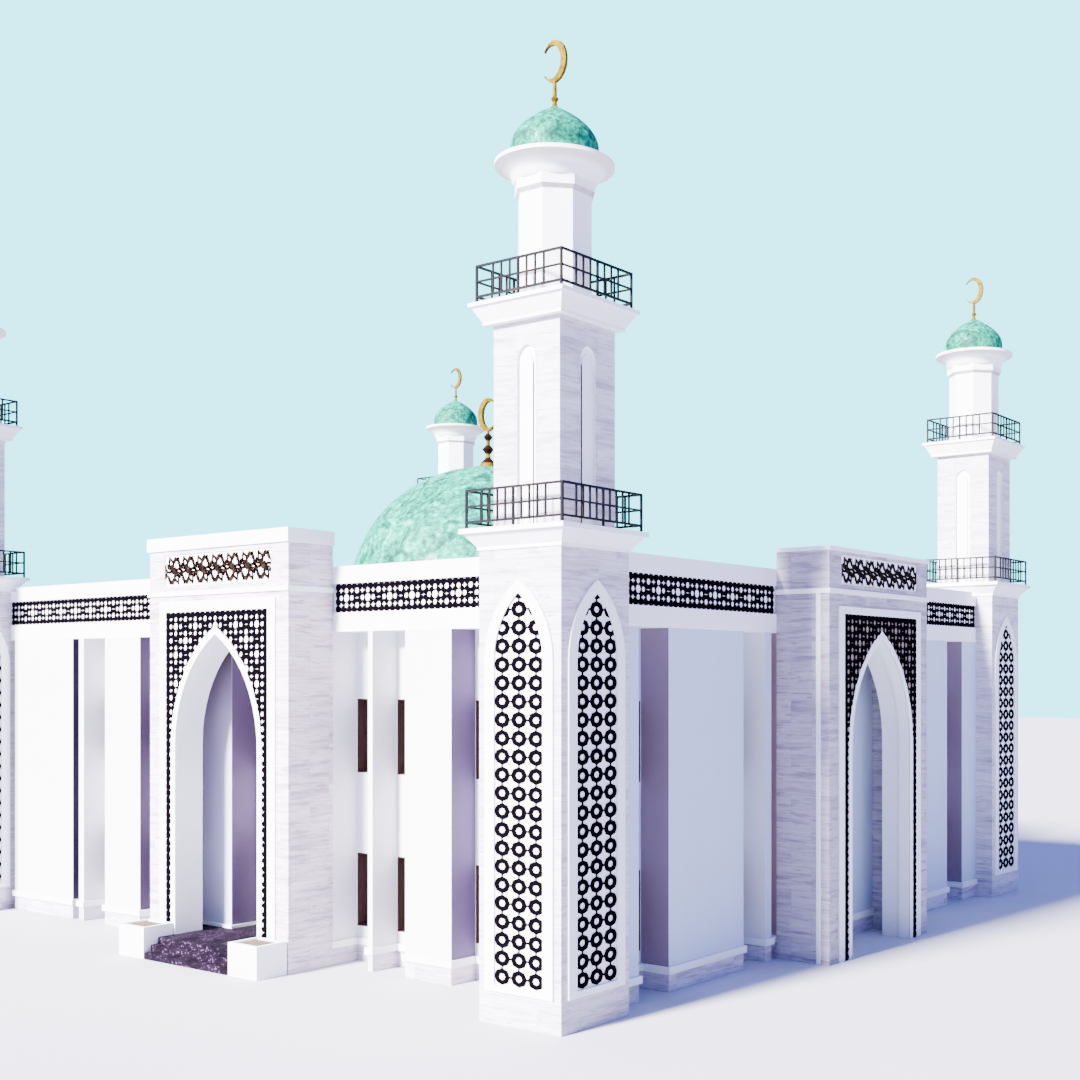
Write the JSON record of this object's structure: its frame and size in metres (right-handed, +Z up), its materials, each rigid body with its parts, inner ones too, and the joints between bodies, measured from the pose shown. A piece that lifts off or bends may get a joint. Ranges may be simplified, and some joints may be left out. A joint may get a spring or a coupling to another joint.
{
  "type": "mosque building",
  "caption": "Mosque hall with a central green dome, corner minarets with railed balconies, and tall pointed-arch portals.",
  "frame": {"origin": "on the ground at the centre of the plan", "axes": "+Z up, -Y towards the front with the entrance steps, +X towards the right side"},
  "size_m": [28.28, 24.44, 20.5432],
  "materials": {
    "white_plaster": "matte painted plaster",
    "travertine": "honed stone with fine horizontal bands",
    "dark_glass": "dark tinted glass",
    "dark_iron": "dark satin paint",
    "green_tile": "mottled green glaze",
    "gold": "polished gold coat",
    "dark_granite": "mottled polished granite",
    "concrete": "plain grey concrete"
  },
  "bodies": {
    "root": {"front_wall_left": "white_plaster", "front_wall_right": "white_plaster", "front_door_head": "white_plaster", "front_window_head": "white_plaster", "front_glazing": "dark_glass", "front_parapet": "white_plaster", "front_portal": "travertine", "front_portal_screen": "white_plaster", "right_wall": "white_plaster", "right_glazing": "dark_glass", "right_parapet": "white_plaster", "right_portal": "travertine", "right_portal_screen": "white_plaster", "back_wall": "white_plaster", "back_glazing": "dark_glass", "back_parapet": "white_plaster", "back_portal": "travertine", "back_portal_screen": "white_plaster", "left_wall": "white_plaster", "left_glazing": "dark_glass", "left_parapet": "white_plaster", "left_portal": "travertine", "left_portal_screen": "white_plaster", "front_right_tower_shaft": "travertine", "front_right_tower_middle": "travertine", "front_right_lantern": "white_plaster", "front_right_cupola": "green_tile", "front_right_crescent": "gold", "front_right_lower_railing": "dark_iron", "front_right_upper_railing": "dark_iron", "back_right_tower_shaft": "travertine", "back_right_tower_middle": "travertine", "back_right_lantern": "white_plaster", "back_right_cupola": "green_tile", "back_right_crescent": "gold", "back_right_lower_railing": "dark_iron", "back_right_upper_railing": "dark_iron", "back_left_tower_shaft": "travertine", "back_left_tower_middle": "travertine", "back_left_lantern": "white_plaster", "back_left_cupola": "green_tile", "back_left_crescent": "gold", "back_left_lower_railing": "dark_iron", "back_left_upper_railing": "dark_iron", "front_left_tower_shaft": "travertine", "front_left_tower_middle": "travertine", "front_left_lantern": "white_plaster", "front_left_cupola": "green_tile", "front_left_crescent": "gold", "front_left_lower_railing": "dark_iron", "front_left_upper_railing": "dark_iron", "floor_slab": "concrete", "upper_floor": "concrete", "roof_slab": "concrete", "dome_drum": "white_plaster", "main_dome": "green_tile", "dome_finial": "gold", "entrance_steps": "dark_granite", "left_planter": "white_plaster", "right_planter": "white_plaster"}
  },
  "joints": []
}
